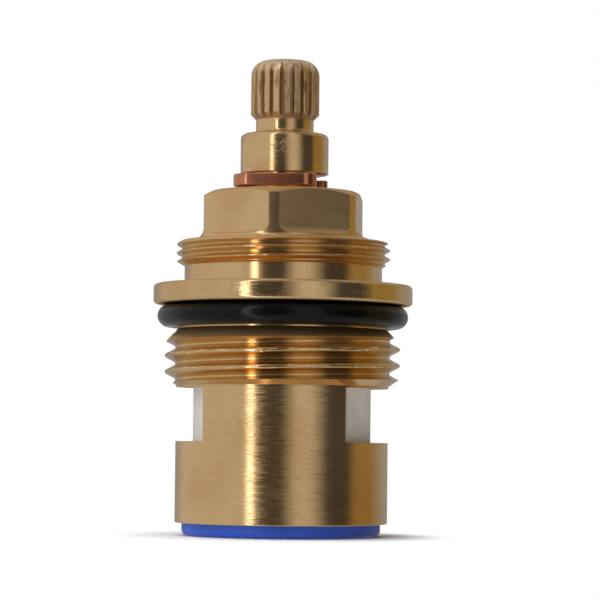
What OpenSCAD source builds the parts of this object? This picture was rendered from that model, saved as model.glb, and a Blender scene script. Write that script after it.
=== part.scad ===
// Ceramic disc tap cartridge: a quarter-turn headwork with a windowed brass body, a splined
// spindle held by a clip, two ceramic discs and an inlet seal. Sizes are in millimetres.
// Z runs up along the spindle. The seal's foot is on z = 0 and the outlet ports face +X and -X.
// Both outside threads are plain cylinders at their major diameter.

/* [Sleeve and outlet ports] */
// Outside diameter of the sleeve below the main thread
sleeve_d = 23.8; // [22.5:0.1:25]
// Wall of the sleeve around the ceramic discs
sleeve_wall = 1.8; // [1.4:0.1:2.2]
// Wall left around the inlet seal at the sleeve's lower end
seal_rim = 0.75; // [0.6:0.05:0.9]
// Height of the closed rim below the outlet ports
rim_h = 9.05; // [8.4:0.05:10.2]
// Height of the two outlet ports
port_h = 6.05; // [5:0.05:7]
// Width of the two pillars left between the ports
pillar_w = 15.65; // [13.5:0.05:17]
// Plain land between the ports and the main thread
port_land = 0.2; // [0.1:0.05:0.6]

/* [Main thread and flange] */
// Major diameter of the main thread, G 3/4
thread_d = 26.4; // [25.5:0.1:28]
// Length of the main thread with its chamfers
thread_h = 6.55; // [5.5:0.05:8]
// Length of the thread's upper chamfer
thread_lead = 1.75; // [1:0.05:2]
// Diameter at the top of the thread's upper chamfer
thread_top_d = 23.5; // [23.2:0.1:25]
// Length of the thread's lower chamfer
thread_run = 0.9; // [0.6:0.1:1.4]
// Diameter of the floor of the outer O-ring's groove
groove_d = 23; // [22:0.1:23.4]
// Diameter of the flange
flange_d = 29.1; // [28:0.1:32]
// Thickness of the flange
flange_h = 2.25; // [1.8:0.05:3]
// Radius along the flange's edges
flange_edge = 0.45; // [0.2:0.05:0.7]

/* [Cover thread and hexagon] */
// Diameter of the relief above the flange
relief_d = 22.2; // [21:0.1:22.8]
// Height of the relief above the flange
relief_h = 2; // [1.4:0.1:2.6]
// Major diameter of the cover thread, M24 x 1
cover_d = 24; // [23:0.1:26]
// Length of the cover thread with its chamfers
cover_h = 2.87; // [2.4:0.01:4]
// Width across the flats of the hexagon
hex_af = 17; // [16.4:0.1:18]
// Diameter of the bar that the hexagon is milled on
hex_bar_d = 19; // [18.4:0.1:20]
// Height of the hexagon above the cover thread
hex_h = 5.6; // [5:0.05:7]
// Diameter of the flat on top of the hexagon
hex_top_d = 16.3; // [15:0.1:16.8]
// Slope of the chamfer on top of the hexagon, in degrees
hex_slope = 27; // [20:1:32]
// Turn of the hexagon against the ports, in degrees
hex_turn = -1.2; // [-30:0.1:30]
// Corner radius of the cutter that milled the flats
cutter_r = 0.9; // [0.5:0.1:1.2]

/* [Spindle] */
// Diameter of the spindle's stem and collar
stem_d = 9.9; // [9.4:0.05:10.6]
// Height of the collar above the clip
collar_h = 4.55; // [3.5:0.05:6]
// Radius along the collar's upper edge
collar_edge = 0.6; // [0.3:0.05:0.9]
// Diameter of the neck under the splines
neck_d = 6.5; // [6:0.1:6.7]
// Height of the neck under the splines
neck_h = 1.6; // [1.4:0.1:2.4]
// Diameter over the splines
spline_d = 7.7; // [7.4:0.05:8.2]
// Length of the splined head
spline_h = 6.7; // [5.5:0.1:9]
// Number of spline teeth
spline_teeth = 20; // [16:1:24]
// Depth of the spline grooves
spline_depth = 0.55; // [0.35:0.05:0.55]
// Radius over the top of the splined head
crown_r = 1.75; // [0.8:0.05:1.9]
// Tapping bore for the handle's M4 screw
screw_d = 3.3; // [3:0.1:3.5]
// Depth of the handle screw's bore
screw_depth = 8; // [6:0.5:11]

/* [Retaining clip] */
// Diameter of the clip's groove in the spindle
clip_groove_d = 7.3; // [6.8:0.1:7.8]
// Thickness of the clip
clip_t = 1.35; // [1:0.05:1.6]
// Width over the clip's two arms
clip_w = 11.5; // [10.6:0.1:12.8]
// Distance from the axis to the clip's closed back
clip_back = 5.1; // [4.6:0.1:6]
// Distance from the axis to the ends of the clip's arms
clip_reach = 4.3; // [3.6:0.1:4.8]
// Direction of the clip's mouth, in degrees from +X
clip_turn = -3.5; // [-180:0.5:180]

/* [Ceramic discs and drive] */
// Thickness of the fixed inlet disc
inlet_disc_h = 4; // [3.2:0.1:4.6]
// Angle of each water port in the inlet disc
inlet_angle = 76; // [60:1:80]
// Angle of each side opening in the control disc
control_angle = 84; // [80:1:86]
// Radius of the solid core of both discs
core_r = 3.6; // [3.2:0.1:4]
// Ceramic left between the control disc's side openings and its drive slot
slot_floor = 0.8; // [0.5:0.1:1.4]
// Width of the spindle's tang in the control disc
tang_w = 4.6; // [4:0.1:5.4]
// Length of the spindle's tang
tang_l = 15; // [12:0.1:17]
// Height of the spindle's tang below its drive flange
tang_h = 1.6; // [1.2:0.1:2.2]
// Thickness of the spindle's drive flange
drive_h = 2.4; // [1.8:0.1:2.8]
// Angle that the spindle turns between its stops
turn_angle = 90; // [60:1:100]

/* [Seals and slip ring] */
// How far the inlet seal stands out below the sleeve
seal_proud = 1.45; // [1:0.05:2]
// Inside diameter of the seal's support ring
support_d = 16; // [14:0.1:17.5]
// Wall of the seal's support ring
support_wall = 0.8; // [0.6:0.05:1]
// Thickness of the outer O-ring
ring_cs = 2.55; // [2.3:0.01:2.8]
// Depth of the spindle's O-ring grooves
gland_depth = 1.35; // [1.1:0.05:1.5]
// Width of the spindle's O-ring grooves
gland_w = 2.4; // [2:0.1:2.8]
// Distance from the body's top to the upper groove
gland_drop = 3.2; // [2.6:0.1:4]
// Distance between the two spindle O-rings
gland_step = 4.6; // [3.6:0.1:5.4]
// Outside diameter of the slip ring above the drive flange
slip_d = 14.4; // [13:0.1:15.4]
// Thickness of the slip ring above the drive flange
slip_h = 0.7; // [0.5:0.05:1]

/* [Hidden] */
$fn = 72;
over = 0.5;
far = 20;

// Clearances that keep neighbouring pieces apart
stem_gap = 0.05;
disc_gap = 0.15;
lap_gap = 0.03;
fit_gap = 0.03;
drive_gap = 0.2;
stop_gap = 0.25;
clip_lift = 0.35;
clip_play = 0.3;
sill_step = 0.4;
head_step = 0.5;

// Small edges, fillets and lead-ins
edge_break = 0.2;
bore_lead = 0.3;
hex_fillet = 0.5;
cover_lead = 0.6;
cover_run = 0.55;
flat_rise = 0.4;
neck_fillet = 0.5;
clip_lead = 0.4;
clip_back_r = 1.9;
clip_tip_r = 1.5;

// Floor between two spline teeth, and the slope of their flanks in degrees
spline_floor = 0.14;
spline_flank = 24;

// Radii of the body
sleeve_r = sleeve_d / 2;
chamber_r = sleeve_r - sleeve_wall;
seat_r = sleeve_r - seal_rim;
thread_r = thread_d / 2;
thread_top_r = thread_top_d / 2;
groove_r = groove_d / 2;
flange_r = flange_d / 2;
relief_r = relief_d / 2;
cover_r = cover_d / 2;
hex_r = hex_bar_d / 2;
hex_top_r = hex_top_d / 2;
bore_r = stem_d / 2 + stem_gap;

// Levels of the body's outside, from the sleeve's end up
z_rim = seal_proud;
z_sill = z_rim + rim_h;
z_head = z_sill + port_h;
z_thread = z_head + port_land;
z_groove = z_thread + thread_h;
z_flange = z_groove + ring_cs;
z_relief = z_flange + flange_h;
z_cover = z_relief + relief_h;
z_shoulder = z_cover + cover_h;
z_top = z_shoulder + hex_h;
hex_drop = (hex_r - hex_top_r) * tan(hex_slope);
z_flat = z_shoulder + flat_rise;

// Levels inside: the two discs meet a little below the port's sill
z_lap = z_sill - sill_step;
z_seat = z_lap - inlet_disc_h;
z_control = z_lap + lap_gap;
z_opening = z_head - head_step;
z_slot = z_opening + slot_floor;
z_control_top = z_slot + tang_h;
z_drive = z_control_top + drive_gap;
z_drive_top = z_drive + drive_h;
z_slip = z_drive_top + lap_gap;
z_boss = z_slip + slip_h + lap_gap;
stop_h = 1.2;
z_channel = z_boss + stop_h;

// Ceramic discs, their keys and the drive
disc_r = chamber_r - disc_gap;
key_w = 3;
key_h = 3;
key_r = (chamber_r + seat_r) / 2 + edge_break;
inlet_reach = support_d / 2 - edge_break;
drive_r = chamber_r - stop_gap;
slip_r = slip_d / 2;
boss_r = slip_r + drive_gap;
lug_r = boss_r + stop_gap;
lug_half = 20;
lug_step = 180;
stop_slack = 0.5;
rib_half = lug_step / 2 - lug_half - (turn_angle + 2 * stop_slack) / 2;

// Spindle levels and radii
stem_r = stem_d / 2;
neck_r = neck_d / 2;
spline_r = spline_d / 2;
root_r = spline_r - spline_depth;
clip_r = clip_groove_d / 2;
gland_r = stem_r - gland_depth;
z_gland_up = z_top - gland_drop - gland_w;
z_gland_low = z_gland_up - gland_step;
z_clip = z_top + clip_lift;
z_collar = z_clip + clip_t + clip_play;
z_neck = z_collar + collar_h;
z_spline = z_neck + neck_h;
z_crown = z_spline + spline_h;

// Inlet seal and O-rings
seal_r = seat_r - fit_gap;
seal_edge = 0.7;
lip_h = 1;
support_r = support_d / 2 + support_wall;
lip_r = support_d / 2 + edge_break;
ring_r = groove_r + fit_gap + ring_cs / 2;
ring_side = 0.25;
ring_corner = 0.45;

// Name of the one node to build, or "all"

// Half-section that rounds an outer corner at radius r and height z, drawn over a chamfer
module corner_round(r, z, edge, upper) {
    translate([r - edge, upper ? z - edge : z + edge])
        circle(r = edge, $fn = 32);
}

// Half-section that fills the inner corner above a ledge at radius r and height z
module corner_fill(r, z, fillet) {
    translate([r, z])
        difference() {
            translate([-over / 2, -over / 2])
                square(fillet + over / 2);
            translate([fillet, fillet])
                circle(r = fillet, $fn = 32);
        }
}

// Wedge of a flat shape, centred on the direction turn
module wedge(half, turn) {
    rotate(turn)
        polygon([[0, 0], [far, -far * tan(half)], [far, far * tan(half)]]);
}

// Ring sector between two radii and two heights
module sector(r_in, r_out, half, turn, z0, z1) {
    translate([0, 0, z0])
        linear_extrude(height = z1 - z0)
            intersection() {
                difference() {
                    circle(r = r_out);
                    circle(r = r_in);
                }
                wedge(half, turn);
            }
}

// Plain ring between two radii and two heights
module tube(r_in, r_out, z0, z1) {
    translate([0, 0, z0])
        difference() {
            cylinder(r = r_out, h = z1 - z0);
            translate([0, 0, -over])
                cylinder(r = r_in, h = z1 - z0 + 2 * over);
        }
}

// Outside of the body as a half-section, from the sleeve's end to the top of the hexagon
module body_outline() {
    polygon([
        [0, z_rim],
        [sleeve_r - edge_break, z_rim],
        [sleeve_r, z_rim + edge_break],
        [sleeve_r, z_thread],
        [thread_r, z_thread + thread_run],
        [thread_r, z_groove - thread_lead],
        [thread_top_r, z_groove],
        [groove_r, z_groove],
        [groove_r, z_flange],
        [flange_r - flange_edge, z_flange],
        [flange_r, z_flange + flange_edge],
        [flange_r, z_relief - flange_edge],
        [flange_r - flange_edge, z_relief],
        [relief_r, z_relief],
        [relief_r, z_cover],
        [cover_r, z_cover + cover_run],
        [cover_r, z_shoulder - cover_lead],
        [cover_r - cover_lead, z_shoulder],
        [hex_r, z_shoulder],
        [hex_r, z_top - hex_drop],
        [hex_top_r, z_top],
        [0, z_top]
    ]);
    corner_round(sleeve_r, z_rim, edge_break, false);
    corner_round(flange_r, z_flange, flange_edge, false);
    corner_round(flange_r, z_relief, flange_edge, true);
    corner_round(cover_r, z_shoulder, cover_lead, true);
    corner_fill(relief_r, z_relief, edge_break);
    corner_fill(hex_r, z_shoulder, hex_fillet);
}

// Inside of the body as a half-section: seal seat, disc chamber, stop channel and stem bore
module body_hollow() {
    polygon([
        [0, z_rim - over],
        [seat_r, z_rim - over],
        [seat_r, z_seat],
        [chamber_r, z_seat],
        [chamber_r, z_channel],
        [boss_r, z_channel],
        [boss_r, z_boss],
        [bore_r, z_boss],
        [bore_r, z_top - bore_lead],
        [bore_r + bore_lead, z_top],
        [bore_r + bore_lead, z_top + over],
        [0, z_top + over]
    ]);
}

// Path of the cutter that mills one flat of the hexagon
module flat_cut() {
    rotate([90, 0, 0])
        linear_extrude(height = hex_bar_d, center = true) {
            translate([hex_af / 2 + cutter_r, z_flat])
                square([far, hex_h]);
            translate([hex_af / 2, z_flat + cutter_r])
                square([far, hex_h]);
            translate([hex_af / 2 + cutter_r, z_flat + cutter_r])
                circle(r = cutter_r, $fn = 32);
        }
}

// Brass body with hexagon, two threads, flange and windowed sleeve, in one turned piece
module headwork_body() {
    color("#b5894f") {
        difference() {
            rotate_extrude()
                body_outline();
            rotate_extrude()
                body_hollow();
            for (turn = [0 : 60 : 300])
                rotate(turn + hex_turn)
                    flat_cut();
            for (turn = [0, 180])
                rotate(turn)
                    translate([pillar_w / 2, -far, z_sill])
                        cube([far, 2 * far, port_h]);
            translate([-key_w / 2, -key_r, z_seat - over])
                cube([key_w, 2 * key_r, key_h + over + fit_gap]);
        }
        for (turn = [-90, 90])
            sector(boss_r - drive_gap / 2, chamber_r + over, rib_half, turn,
                   z_drive_top + stop_gap, z_channel + over);
    }
}

// Rubber ring that seals the body under its flange
module body_o_ring() {
    color("#161616")
        rotate_extrude()
            translate([ring_r, z_flange - ring_cs / 2 - fit_gap])
                circle(r = ring_cs / 2, $fn = 48);
}

// Stem, collar and head of the spindle as a half-section
module spindle_outline() {
    polygon([
        [0, z_drive],
        [drive_r, z_drive],
        [drive_r, z_drive_top],
        [stem_r, z_drive_top],
        [stem_r, z_gland_low],
        [gland_r, z_gland_low],
        [gland_r, z_gland_low + gland_w],
        [stem_r, z_gland_low + gland_w],
        [stem_r, z_gland_up],
        [gland_r, z_gland_up],
        [gland_r, z_gland_up + gland_w],
        [stem_r, z_gland_up + gland_w],
        [stem_r, z_clip],
        [clip_r, z_clip],
        [clip_r, z_collar],
        [stem_r - edge_break, z_collar],
        [stem_r, z_collar + edge_break],
        [stem_r, z_neck - collar_edge],
        [stem_r - collar_edge, z_neck],
        [neck_r, z_neck],
        [neck_r, z_spline],
        [spline_r, z_spline + spline_r - neck_r],
        [spline_r, z_crown - crown_r],
        [spline_r - crown_r, z_crown],
        [0, z_crown]
    ]);
    corner_round(stem_r, z_neck, collar_edge, true);
    corner_round(spline_r, z_crown, crown_r, true);
    corner_fill(neck_r, z_neck, neck_fillet);
}

// One groove between two spline teeth
module spline_groove() {
    floor_half = spline_floor / 2;
    mouth = spline_depth + over;
    mouth_half = floor_half + mouth * tan(spline_flank);
    translate([0, 0, z_spline])
        linear_extrude(height = spline_h + over)
            polygon([
                [root_r, -floor_half],
                [root_r + mouth, -mouth_half],
                [root_r + mouth, mouth_half],
                [root_r, floor_half]
            ]);
}

// Brass spindle: splined head, collar, stem, drive flange with two stop lugs, and tang
module spindle() {
    color("#b98d55")
        difference() {
            union() {
                rotate_extrude()
                    spindle_outline();
                for (turn = [turn_angle / 2, turn_angle / 2 + lug_step])
                    sector(lug_r, drive_r, lug_half, turn,
                           z_drive_top - over, z_channel - drive_gap);
                translate([-tang_l / 2, -tang_w / 2, z_drive - tang_h])
                    cube([tang_l, tang_w, tang_h + over]);
            }
            for (i = [0 : spline_teeth - 1])
                rotate(i * 360 / spline_teeth)
                    spline_groove();
            translate([0, 0, z_crown - screw_depth])
                cylinder(d = screw_d, h = screw_depth + over);
        }
}

// Flat outline of the clip, with its mouth towards +X
module clip_outline() {
    slot = clip_r + fit_gap;
    half = clip_w / 2;
    arm = half - slot;
    back_r = min(clip_back_r, arm);
    tip_r = min(clip_tip_r, arm - clip_lead);
    difference() {
        union() {
            polygon([
                [-clip_back, back_r - half],
                [back_r - clip_back, -half],
                [clip_reach - tip_r, -half],
                [clip_reach, tip_r - half],
                [clip_reach, half - tip_r],
                [clip_reach - tip_r, half],
                [back_r - clip_back, half],
                [-clip_back, half - back_r]
            ]);
            for (side = [-1, 1]) {
                translate([back_r - clip_back, side * (half - back_r)])
                    circle(r = back_r);
                translate([clip_reach - tip_r, side * (half - tip_r)])
                    circle(r = tip_r);
            }
        }
        circle(r = slot);
        translate([0, -slot])
            square([far, 2 * slot]);
        polygon([
            [clip_reach - clip_lead, -slot],
            [clip_reach + clip_lead, -slot - 2 * clip_lead],
            [clip_reach + clip_lead, slot + 2 * clip_lead],
            [clip_reach - clip_lead, slot]
        ]);
    }
}

// Bronze clip that keeps the spindle from dropping into the body
module retaining_clip() {
    color("#a0522d")
        rotate(clip_turn)
            translate([0, 0, z_clip])
                linear_extrude(height = clip_t)
                    clip_outline();
}

// One of the two O-rings on the stem, pressed flat between its groove and the bore
module stem_ring(z_gland) {
    r_in = gland_r + fit_gap;
    wide = stem_r - r_in;
    high = gland_w - 2 * ring_side;
    color("#161616")
        rotate_extrude()
            translate([r_in, z_gland + ring_side]) {
                translate([ring_corner, 0])
                    square([wide - 2 * ring_corner, high]);
                translate([0, ring_corner])
                    square([wide, high - 2 * ring_corner]);
                for (x = [ring_corner, wide - ring_corner], y = [ring_corner, high - ring_corner])
                    translate([x, y])
                        circle(r = ring_corner, $fn = 32);
            }
}

module upper_stem_ring() {
    stem_ring(z_gland_up);
}

module lower_stem_ring() {
    stem_ring(z_gland_low);
}

// Plastic ring that the drive flange turns against
module slip_ring() {
    color("#e8e4d8")
        tube(bore_r + drive_gap, slip_r, z_slip, z_slip + slip_h);
}

// Ceramic disc that turns with the spindle and opens the way to the ports
module control_disc() {
    slot_l = tang_l + 2 * drive_gap;
    slot_w = tang_w + 2 * stem_gap;
    color("#e6e3dc")
        difference() {
            translate([0, 0, z_control])
                cylinder(r = disc_r, h = z_control_top - z_control);
            for (turn = [-90, 90])
                sector(core_r, disc_r + over, control_angle / 2, turn,
                       z_control - over, z_opening);
            translate([-slot_l / 2, -slot_w / 2, z_slot])
                cube([slot_l, slot_w, tang_h + over]);
        }
}

// Ceramic disc keyed in the sleeve, with two ports that the control disc covers
module inlet_disc() {
    key_half = key_w / 2 - fit_gap;
    key_end = key_r - disc_gap;
    color("#e6e3dc")
        difference() {
            union() {
                translate([0, 0, z_seat])
                    cylinder(r = disc_r, h = inlet_disc_h);
                translate([-key_half, -key_end, z_seat])
                    cube([2 * key_half, 2 * key_end, key_h]);
            }
            for (turn = [0, 180])
                sector(core_r, inlet_reach, inlet_angle / 2, turn, z_seat - over, z_lap + over);
        }
}

// Silicone seal at the inlet, with a lip under its support ring
module inlet_seal() {
    color("#2a55b8")
        rotate_extrude() {
            polygon([
                [lip_r, 0],
                [seal_r - seal_edge, 0],
                [seal_r, seal_edge],
                [seal_r, z_seat],
                [support_r + fit_gap, z_seat],
                [support_r + fit_gap, lip_h],
                [lip_r, lip_h]
            ]);
            corner_round(seal_r, 0, seal_edge, false);
        }
}

// Stiff ring that keeps the inlet seal from folding inwards
module seal_support_ring() {
    color("#dcdad2")
        tube(support_d / 2, support_r, lip_h, z_seat);
}

headwork_body();
body_o_ring();
spindle();
retaining_clip();
upper_stem_ring();
lower_stem_ring();
slip_ring();
control_disc();
inlet_disc();
inlet_seal();
seal_support_ring();
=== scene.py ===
# Ceramic disc tap cartridge, standing closed on its inlet seal. Everything is in metres, in the
# frame of the CAD model: Z runs up along the spindle and the outlet ports face +X and -X.
import math

import bpy
from mathutils import Matrix, Vector


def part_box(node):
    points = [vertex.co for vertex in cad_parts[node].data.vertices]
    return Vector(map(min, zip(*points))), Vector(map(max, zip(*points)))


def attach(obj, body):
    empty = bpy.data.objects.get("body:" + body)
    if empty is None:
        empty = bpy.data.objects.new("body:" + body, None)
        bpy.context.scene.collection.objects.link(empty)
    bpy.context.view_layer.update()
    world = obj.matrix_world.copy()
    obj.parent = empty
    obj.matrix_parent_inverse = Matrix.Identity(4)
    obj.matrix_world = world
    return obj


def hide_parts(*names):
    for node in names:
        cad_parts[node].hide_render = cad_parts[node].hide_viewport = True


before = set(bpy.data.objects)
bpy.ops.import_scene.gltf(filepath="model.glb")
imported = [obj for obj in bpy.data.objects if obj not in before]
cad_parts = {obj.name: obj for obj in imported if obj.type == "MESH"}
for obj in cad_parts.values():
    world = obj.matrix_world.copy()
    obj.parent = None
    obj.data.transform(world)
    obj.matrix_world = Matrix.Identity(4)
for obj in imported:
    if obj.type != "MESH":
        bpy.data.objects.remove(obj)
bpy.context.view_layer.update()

# Headwork body
# One piece of free-cutting brass, turned from bar. The two threads are chased, the hexagon's flats
# and both outlet ports are milled, and the sleeve is left with the fine rings of the turning tool.
MM = 0.001
MERGE_DISTANCE = 0.001 * MM
ROUND_STEPS = 192
SECTOR_STEPS = 32
THREAD_STEPS = 120
rim_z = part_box("headwork_body")[0][2]
hex_top_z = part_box("headwork_body")[1][2]
flange_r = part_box("headwork_body")[1][0]
sleeve_r = 11.9 * MM
sleeve_edge = 0.12 * MM
seat_r = 11.15 * MM
chamber_r = 10.1 * MM
thread_z = rim_z + 15.3 * MM
thread_r = 13.2 * MM
thread_run = 0.9 * MM
thread_lead = 1.75 * MM
thread_top_r = 11.75 * MM
thread_land = 0.18 * MM
groove_z = thread_z + 6.55 * MM
groove_r = 11.5 * MM
flange_z = groove_z + 2.55 * MM
flange_edge = 0.45 * MM
relief_z = flange_z + 2.25 * MM
relief_r = 11.1 * MM
relief_fillet = 0.2 * MM
cover_z = relief_z + 2.0 * MM
cover_r = 12.0 * MM
cover_run = 0.55 * MM
cover_lead = 0.6 * MM
shoulder_z = cover_z + 2.87 * MM
hex_bar_r = 9.5 * MM
hex_fillet = 0.5 * MM
hex_top_r = 8.15 * MM
hex_drop = (hex_bar_r - hex_top_r) * math.tan(math.radians(27))
bore_r = 5.0 * MM
bore_lead = 0.3 * MM
boss_z = rim_z + 20.36 * MM
boss_r = 7.4 * MM
channel_z = boss_z + 1.2 * MM
seat_z = rim_z + 4.65 * MM


def arc(r, z, radius, start, end, step=9):
    """Points along an arc round (r, z), from one angle to the other in degrees."""
    count = math.ceil(abs(end - start) / step)
    angles = [math.radians(start + (end - start) * i / count) for i in range(count + 1)]
    return [(r + radius * math.cos(a), z + radius * math.sin(a)) for a in angles]


def draw_outline(name, outline, flat=False):
    """Draws a chain of edges in the XZ plane, or flat in the XY plane, extruded from one vertex."""
    def spot(a, b):
        return (a, b, 0) if flat else (a, 0, b)
    bpy.ops.object.select_all(action="DESELECT")
    bpy.ops.mesh.primitive_plane_add(size=MM)
    piece = bpy.context.object
    piece.name = name
    bpy.ops.object.mode_set(mode="EDIT")
    bpy.ops.mesh.merge(type="CENTER")
    bpy.ops.transform.translate(value=spot(*outline[0]))
    for (a0, b0), (a1, b1) in zip(outline, outline[1:]):
        bpy.ops.mesh.extrude_vertices_move(TRANSFORM_OT_translate={"value": spot(a1 - a0, b1 - b0)})
    bpy.ops.mesh.select_all(action="SELECT")
    bpy.ops.mesh.remove_doubles(threshold=MERGE_DISTANCE)
    return piece


def close_up(piece):
    """Merges the seams of a mesh in edit mode, turns its faces outwards and leaves edit mode."""
    bpy.ops.mesh.select_all(action="SELECT")
    bpy.ops.mesh.remove_doubles(threshold=MERGE_DISTANCE)
    bpy.ops.mesh.normals_make_consistent(inside=False)
    bpy.ops.object.mode_set(mode="OBJECT")
    return piece


def turn_on_lathe(name, outline):
    """Spins a half-section once round the spindle's axis."""
    piece = draw_outline(name, outline)
    bpy.ops.mesh.spin(steps=ROUND_STEPS, angle=math.tau, center=(0, 0, 0), axis=(0, 0, 1))
    return close_up(piece)


def extrude_outline(name, outline, start, end, flat=False):
    """Fills a closed outline and extrudes it from start to end, along Y or, if it lies flat, along Z."""
    def step(distance):
        return (0, 0, distance) if flat else (0, distance, 0)
    piece = draw_outline(name, outline, flat)
    bpy.ops.mesh.edge_face_add()
    bpy.ops.transform.translate(value=step(start))
    bpy.ops.mesh.extrude_region_move(TRANSFORM_OT_translate={"value": step(end - start)})
    return close_up(piece)


def rectangle(a0, b0, a1, b1):
    """Closed outline of a rectangle between two corners."""
    return [(a0, b0), (a1, b0), (a1, b1), (a0, b1), (a0, b0)]


def pick(piece):
    """Selects one piece by itself and makes it the active one."""
    bpy.ops.object.select_all(action="DESELECT")
    piece.select_set(True)
    bpy.context.view_layer.objects.active = piece


def turn_piece(piece, degrees):
    """Turns a finished mesh round the spindle's axis."""
    pick(piece)
    piece.rotation_euler.z = math.radians(degrees)
    bpy.ops.object.transform_apply(location=True, rotation=True, scale=True)
    return piece


def sector(name, r_in, r_out, z_low, z_high, middle, half):
    """Block between two radii and two heights, spun through twice the angle half about middle."""
    piece = draw_outline(name, rectangle(r_in, z_low, r_out, z_high))
    bpy.ops.mesh.edge_face_add()
    bpy.ops.mesh.spin(steps=SECTOR_STEPS, angle=math.radians(2 * half), center=(0, 0, 0), axis=(0, 0, -1))
    return turn_piece(close_up(piece), middle - half)


def combine(piece, tool, operation="DIFFERENCE"):
    """Cuts a tool out of a piece, or joins it on, and takes the tool away."""
    pick(piece)
    boolean = piece.modifiers.new("combine", "BOOLEAN")
    boolean.operation = operation
    boolean.solver = "MANIFOLD"
    boolean.object = tool
    bpy.ops.object.modifier_apply(modifier=boolean.name)
    bpy.data.meshes.remove(tool.data)


def chase_thread(piece, major_r, pitch, depth, flank, root, crest, low_z, turns):
    """Cuts a right-hand thread whose groove starts at +X on low_z. flank is half the thread's angle."""
    slope = math.radians(flank)
    root_r = major_r - depth + root
    rise_r = (major_r - crest + crest * math.sin(slope)) - (root_r - root * math.sin(slope))
    crest_z = (root + crest) * math.cos(slope) + rise_r * math.tan(slope)
    mouth_angle = 6
    upper = arc(root_r, 0, root, 180, 90 + flank)
    upper += arc(major_r - crest, crest_z, crest, flank - 90, -mouth_angle)
    upper.append((major_r + depth / 2, upper[-1][1]))
    outline = [(r, -z) for r, z in reversed(upper)] + upper[1:]
    outline.append(outline[0])
    tool = draw_outline("thread_tool", [(r, low_z + z) for r, z in outline])
    bpy.ops.object.mode_set(mode="OBJECT")
    screw = tool.modifiers.new("screw", "SCREW")
    screw.screw_offset = pitch
    screw.iterations = turns
    screw.steps = THREAD_STEPS
    screw.render_steps = THREAD_STEPS
    bpy.ops.object.modifier_apply(modifier=screw.name)
    bpy.ops.object.mode_set(mode="EDIT")
    bpy.ops.mesh.select_all(action="SELECT")
    bpy.ops.mesh.fill_holes(sides=0)
    combine(piece, close_up(tool))


headwork_body = turn_on_lathe("headwork_body_brass", [
    (seat_r, rim_z),
    *arc(sleeve_r - sleeve_edge, rim_z + sleeve_edge, sleeve_edge, -90, 0),
    (sleeve_r, thread_z),
    (thread_r, thread_z + thread_run),
    (thread_r, groove_z - thread_lead),
    (thread_top_r, groove_z - thread_land),
    (thread_top_r, groove_z),
    (groove_r, groove_z),
    (groove_r, flange_z),
    *arc(flange_r - flange_edge, flange_z + flange_edge, flange_edge, -90, 0),
    *arc(flange_r - flange_edge, relief_z - flange_edge, flange_edge, 0, 90),
    *arc(relief_r + relief_fillet, relief_z + relief_fillet, relief_fillet, 270, 180),
    (relief_r, cover_z),
    (cover_r, cover_z + cover_run),
    *arc(cover_r - cover_lead, shoulder_z - cover_lead, cover_lead, 0, 90),
    *arc(hex_bar_r + hex_fillet, shoulder_z + hex_fillet, hex_fillet, 270, 180),
    (hex_bar_r, hex_top_z - hex_drop),
    (hex_top_r, hex_top_z),
    (bore_r + bore_lead, hex_top_z),
    (bore_r, hex_top_z - bore_lead),
    (bore_r, boss_z),
    (boss_r, boss_z),
    (boss_r, channel_z),
    (chamber_r, channel_z),
    (chamber_r, seat_z),
    (seat_r, seat_z),
    (seat_r, rim_z),
])
chase_thread(headwork_body, thread_r, pitch=1.814 * MM, depth=1.16 * MM, flank=27.5, root=0.249 * MM,
             crest=0.249 * MM, low_z=14.59 * MM, turns=5)
chase_thread(headwork_body, cover_r, pitch=1.0 * MM, depth=0.61 * MM, flank=30, root=0.144 * MM,
             crest=0.1 * MM, low_z=28.55 * MM, turns=5)

hex_sides = 6
hex_half = 8.5 * MM
hex_turn = -1.2
mill_r = 0.9 * MM
flat_z = shoulder_z + 0.4 * MM
past_edge = 3 * MM
for side in range(hex_sides):
    flat = extrude_outline("flat_cut", [
        (hex_half, hex_top_z + past_edge),
        *arc(hex_half + mill_r, flat_z + mill_r, mill_r, 180, 270),
        (hex_bar_r + past_edge, flat_z),
        (hex_bar_r + past_edge, hex_top_z + past_edge),
        (hex_half, hex_top_z + past_edge),
    ], -hex_bar_r, hex_bar_r)
    combine(headwork_body, turn_piece(flat, side * 360 / hex_sides + hex_turn))

port_low_z = rim_z + 9.05 * MM
port_high_z = port_low_z + 6.05 * MM
pillar_half = 7.825 * MM
for side in (0, 180):
    port_outline = rectangle(pillar_half, port_low_z, sleeve_r + past_edge, port_high_z)
    port = extrude_outline("port_cut", port_outline, -sleeve_r, sleeve_r)
    combine(headwork_body, turn_piece(port, side))

key_half = 1.5 * MM
key_r = 10.825 * MM
key_h = 3.03 * MM
key_outline = rectangle(-key_half, seat_z - sleeve_edge, key_half, seat_z + key_h)
combine(headwork_body, extrude_outline("key_way", key_outline, -key_r, key_r))
stop_half = 24.5
stop_z = boss_z - 0.51 * MM
stop_r = boss_r - 0.1 * MM
sunk = 0.5 * MM
for side in (-90, 90):
    stop = sector("stop_rib", stop_r, chamber_r + sunk, stop_z, channel_z + sunk, side, stop_half)
    combine(headwork_body, stop, "UNION")


def feed(material, socket, value):
    """Gives a socket a value, or links it if the value is another node's output."""
    if isinstance(value, bpy.types.NodeSocket):
        material.node_tree.links.new(value, socket)
    else:
        socket.default_value = value


def add_node(material, kind, sockets=(), **settings):
    """Adds a shader node, with its settings and what its sockets are fed."""
    node = material.node_tree.nodes.new("ShaderNode" + kind)
    for name, value in settings.items():
        setattr(node, name, value)
    for name, value in dict(sockets).items():
        feed(material, node.inputs[name], value)
    return node


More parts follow.
